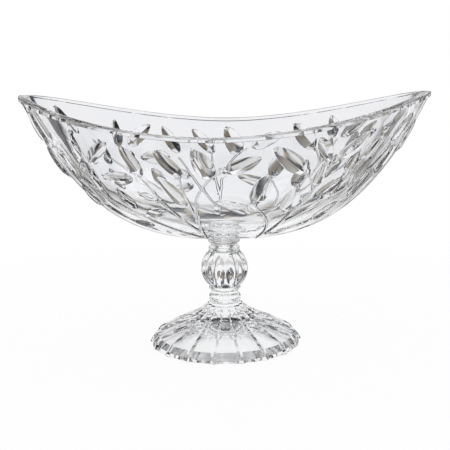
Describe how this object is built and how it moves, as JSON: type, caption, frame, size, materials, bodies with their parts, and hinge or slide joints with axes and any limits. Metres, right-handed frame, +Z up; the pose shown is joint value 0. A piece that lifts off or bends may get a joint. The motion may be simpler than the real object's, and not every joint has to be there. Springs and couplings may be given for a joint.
{
  "type": "footed fruit bowl",
  "caption": "Oval clear-glass fruit bowl with raised leaf sprays on its wall, standing on a lobed stem and a round panelled foot, to hold fruit on a table.",
  "frame": {"origin": "centre of the foot's standing face, on the table", "axes": "+Z up along the stem, +X along the bowl's long way, -Y the front"},
  "size_m": [0.4, 0.19, 0.2495],
  "materials": {
    "glass": "clear, fire-polished",
    "adhesive": "clear, cured"
  },
  "bodies": {
    "root": {"foot": "glass", "lower_bond": "adhesive", "stem": "glass", "upper_bond": "adhesive", "bowl": "glass"}
  },
  "joints": []
}
